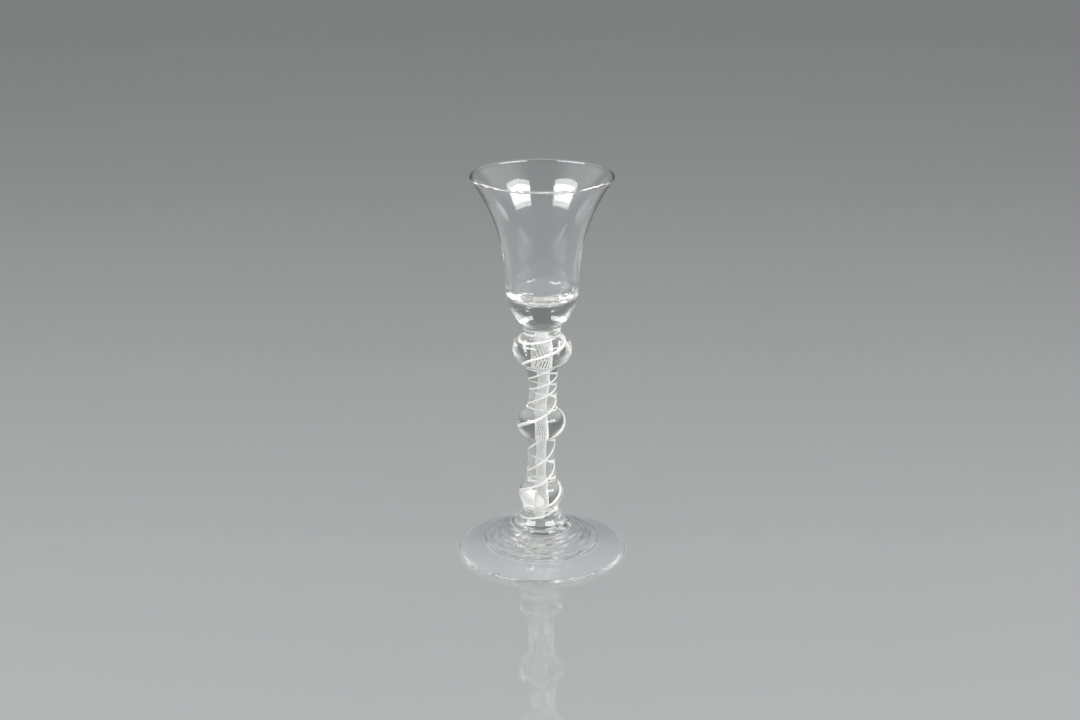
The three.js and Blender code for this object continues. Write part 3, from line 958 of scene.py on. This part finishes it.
def light_room(glass):
    """World: an even light for the object, and a plain room, paler high up at its sides."""
    finishes = glass.finishes
    world = bpy.data.worlds.new("studio")
    world.use_nodes = True
    shader = Shader(world.node_tree)
    direction = shader.node("ShaderNodeTexCoord").outputs["Generated"]
    split = shader.node("ShaderNodeSeparateXYZ", None, {"Vector": direction})
    across = Value(shader, split.outputs["X"])
    up = Value(shader, split.outputs["Z"])
    side = shader.ramp(across * across, *PALE_SIDES) * shader.ramp(up, *PALE_ABOVE)
    room = shader.blend(side, finishes.room, finishes.room_side)
    path = shader.node("ShaderNodeLightPath").outputs
    seen = shader.number(
        "ShaderNodeMath", {"operation": "MAXIMUM"}, path["Is Camera Ray"],
        shader.number(
            "ShaderNodeMath", {"operation": "MAXIMUM"}, path["Is Glossy Ray"],
            path["Is Transmission Ray"],
        ),
    )
    even = shader.node("ShaderNodeBackground", None, {
        "Color": (1, 1, 1, 1), "Strength": glass.stage.room_light,
    })
    shown = shader.node("ShaderNodeBackground", None, {"Color": room, "Strength": 1.0})
    mixed = shader.node("ShaderNodeMixShader", None, {
        0: seen, 1: even.outputs[0], 2: shown.outputs[0],
    })
    shader.finish("ShaderNodeOutputWorld", mixed.outputs[0])
    bpy.context.scene.world = world


def material_named(name, make, *inputs):
    """The material of that name, made if it isn't there yet."""
    return bpy.data.materials.get(name) or make(*inputs)


def dress(piece, slot, *nodes):
    """Rides the piece on the frame in place of its nodes, with a material slot of the record."""
    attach(piece, BODY)
    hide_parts(*nodes)


def dress_glass(glass, piece, seam_heights, *nodes):
    """Clear glass all over, apart from the flat discs where the piece is fused on."""
    mesh = piece.data
    mesh.materials.append(material_named("lead_glass", glass_material, glass))
    mesh.materials.append(material_named("fused_seam", seam_material))
    centres = np.empty(len(mesh.polygons) * 3)
    normals = np.empty(len(mesh.polygons) * 3)
    mesh.polygons.foreach_get("center", centres)
    mesh.polygons.foreach_get("normal", normals)
    height = centres.reshape(-1, 3)[:, 2]
    level = np.abs(normals.reshape(-1, 3)[:, 2]) > LEVEL
    on_seam = np.zeros(len(height), bool)
    for seam in seam_heights:
        on_seam |= level & (np.abs(height - seam) < ON_SEAM)
    mesh.polygons.foreach_set("material_index", on_seam.astype(np.int32))
    mesh.polygons.foreach_set("use_smooth", ~on_seam)
    mesh.update()
    dress(piece, GLASS_SLOT, *nodes)


class GLASS_OT_foot(bpy.types.Operator):
    """Conical foot of clear glass, with a collar and a hollow underside"""

    bl_idname = "twist_glass.foot"
    bl_label = "Foot"

    def execute(self, context):
        glass = context.scene.twist_glass
        outline, (seam, _) = glass_outline(glass)
        height = outline[seam, 1]
        piece = turned(glass, "foot_glass", np.concatenate([outline[:seam + 1], [[0, height]]]))
        dress_glass(glass, piece, [height], "foot")
        return {"FINISHED"}


class GLASS_OT_stem(bpy.types.Operator):
    """Knopped stem of clear glass, the casings and the core rod fused into one"""

    bl_idname = "twist_glass.stem"
    bl_label = "Stem"

    def execute(self, context):
        glass = context.scene.twist_glass
        outline, (low, high) = glass_outline(glass)
        ends = [[[0, outline[seam, 1]]] for seam in (low, high)]
        piece = turned(
            glass, "stem_glass", np.concatenate([ends[0], outline[low:high + 1], ends[1]]),
        )
        heights = [outline[low, 1], outline[high, 1]]
        dress_glass(glass, piece, heights, "outer_casing", "inner_casing", "core_rod")
        return {"FINISHED"}


class GLASS_OT_bowl(bpy.types.Operator):
    """Bell bowl of clear glass on a solid round base"""

    bl_idname = "twist_glass.bowl"
    bl_label = "Bowl"

    def execute(self, context):
        glass = context.scene.twist_glass
        outline, (_, seam) = glass_outline(glass)
        height = outline[seam, 1]
        piece = turned(glass, "bowl_glass", np.concatenate([[[0, height]], outline[seam:]]))
        dress_glass(glass, piece, [height], "bowl")
        return {"FINISHED"}


class GLASS_OT_heavy_threads(bpy.types.Operator):
    """Heavy enamel threads that wind round the cane and swell with its knops"""

    bl_idname = "twist_glass.heavy_threads"
    bl_label = "Heavy threads"

    def execute(self, context):
        glass = context.scene.twist_glass
        twist = glass.twist
        enamel = material_named("white_enamel", enamel_material, glass.finishes)
        height = thread_heights(glass, twist.thread_radius, glass.making.thread_step)
        thickness = in_knops(glass, height, twist.thread_radius, "thread")
        plain = twist.thread_share * shaft_radius(glass, height)
        distance = in_knops(glass, height, plain, "distance")
        for i in range(twist.thread_count):
            angle = twist_angle(glass, height) + 2 * np.pi * i / twist.thread_count
            path = helix(distance, angle, height, lean(glass, height))
            piece = swept(f"heavy_thread_{i + 1}", path, thickness, glass.making.thread_sides)
            piece.data.materials.append(enamel)
            dress(piece, ENAMEL_SLOT, f"outer_thread_{i + 1}")
        return {"FINISHED"}


class GLASS_OT_gauze(bpy.types.Operator):
    """Fine enamel threads that make the gauze in the middle of the cane"""

    bl_idname = "twist_glass.gauze"
    bl_label = "Gauze"

    def execute(self, context):
        glass = context.scene.twist_glass
        twist = glass.twist
        enamel = material_named("white_enamel", enamel_material, glass.finishes)
        height = thread_heights(glass, twist.thread_radius, glass.making.gauze_step)
        spread, thickness = gauze_distance(glass, height)
        middle = gauze_middle(glass, height) + lean(glass, height)
        for i in range(twist.gauze_count):
            start = 2 * np.pi * i / twist.gauze_count
            distance = spread * (1 - twist.gauze_oval * np.cos(2 * start))
            path = helix(distance, twist_angle(glass, height) + start, height, middle)
            piece = swept(f"fine_thread_{i + 1:02d}", path, thickness, glass.making.gauze_sides)
            piece.data.materials.append(enamel)
            dress(piece, ENAMEL_SLOT, f"gauze_thread_{i + 1:02d}")
        return {"FINISHED"}


class GLASS_OT_stage(bpy.types.Operator):
    """Floor, two softboxes, the room's light and the camera"""

    bl_idname = "twist_glass.stage"
    bl_label = "Stage"

    def execute(self, context):
        glass = context.scene.twist_glass
        self.add_floor(glass)
        for side in (-1, 1):
            self.add_softbox(glass.stage, side)
        light_room(glass)
        self.add_camera(context, glass.stage)
        self.let_light_through(context.scene)
        context.scene.view_settings.view_transform = "Standard"
        return {"FINISHED"}

    def let_light_through(self, scene):
        """Follows light far enough to leave the glass walls, which lead it like a pipe."""
        scene.cycles.glossy_bounces = LIGHT_STEPS
        scene.cycles.transmission_bounces = LIGHT_STEPS
        scene.cycles.transparent_max_bounces = LIGHT_STEPS
        scene.cycles.max_bounces = LIGHT_STEPS

    def add_floor(self, glass):
        """A wide disc just under the foot."""
        angle = np.linspace(0, 2 * np.pi, FLOOR_SIDES, endpoint=False)
        radius = glass.stage.floor_radius
        points = np.stack([radius * np.cos(angle), radius * np.sin(angle), 0 * angle], axis=1)
        floor = mesh_object("floor", points, [list(range(len(angle)))])
        floor.data.materials.append(floor_material(glass.finishes))

    def add_softbox(self, stage, side):
        """A softbox beside the camera, turned to the middle of the glass."""
        lamp = bpy.data.lights.new("softbox", "AREA")
        lamp.shape = "RECTANGLE"
        lamp.size = stage.lamp_width
        lamp.size_y = stage.lamp_height
        lamp.energy = stage.lamp_power
        turn = math.radians(stage.lamp_side) * side
        rise = math.radians(stage.lamp_rise)
        away = stage.lamp_distance
        softbox = bpy.data.objects.new("softbox", lamp)
        softbox.location = (
            away * math.cos(rise) * math.sin(turn),
            -away * math.cos(rise) * math.cos(turn),
            away * math.sin(rise) + CAD_HIGH.z / 2,
        )
        aim = Euler((math.pi / 2 - rise, 0, turn)).to_matrix()
        roll = Matrix.Rotation(-side * math.radians(stage.lamp_roll), 3, "Z")
        softbox.rotation_euler = (aim @ roll).to_euler()
        bpy.context.scene.collection.objects.link(softbox)

    def add_camera(self, context, stage):
        """The photograph's view: from a little above, looking down at the glass."""
        data = bpy.data.cameras.new("camera")
        data.lens = stage.camera_lens
        data.clip_start = CAMERA_NEAREST
        camera = bpy.data.objects.new("camera", data)
        camera.location = (stage.camera_x, stage.camera_y, stage.camera_z)
        camera.rotation_euler = (math.radians(90 - stage.camera_dip), 0, 0)
        context.scene.collection.objects.link(camera)
        context.scene.camera = camera


class GLASS_PT_sidebar(bpy.types.Panel):
    """Steps that build the glass, with its sizes and finishes"""

    bl_label = "Twist glass"
    bl_space_type = "VIEW_3D"
    bl_region_type = "UI"
    bl_category = "Twist glass"

    def draw(self, context):
        glass = context.scene.twist_glass
        for step in STEPS:
            self.layout.operator(step.bl_idname)
        for part, sizes in PARTS.items():
            box = self.layout.box()
            box.label(text=sizes.__doc__)
            for size in sizes.__annotations__:
                box.prop(getattr(glass, part), size)


STEPS = (
    GLASS_OT_foot,
    GLASS_OT_stem,
    GLASS_OT_bowl,
    GLASS_OT_heavy_threads,
    GLASS_OT_gauze,
    GLASS_OT_stage,
)
CLASSES = (*PARTS.values(), TwistGlass, *STEPS, GLASS_PT_sidebar)


def register():
    for part in CLASSES:
        bpy.utils.register_class(part)
    bpy.types.Scene.twist_glass = bpy.props.PointerProperty(type=TwistGlass)


def unregister():
    del bpy.types.Scene.twist_glass
    for part in reversed(CLASSES):
        bpy.utils.unregister_class(part)


def main():
    """Builds the glass and its stage, and writes the size of the frame and of the looks."""
    register()
    bpy.ops.twist_glass.foot()
    bpy.ops.twist_glass.stem()
    bpy.ops.twist_glass.bowl()
    bpy.ops.twist_glass.heavy_threads()
    bpy.ops.twist_glass.gauze()
    bpy.ops.twist_glass.stage()


if __name__ == "__main__":
    main()
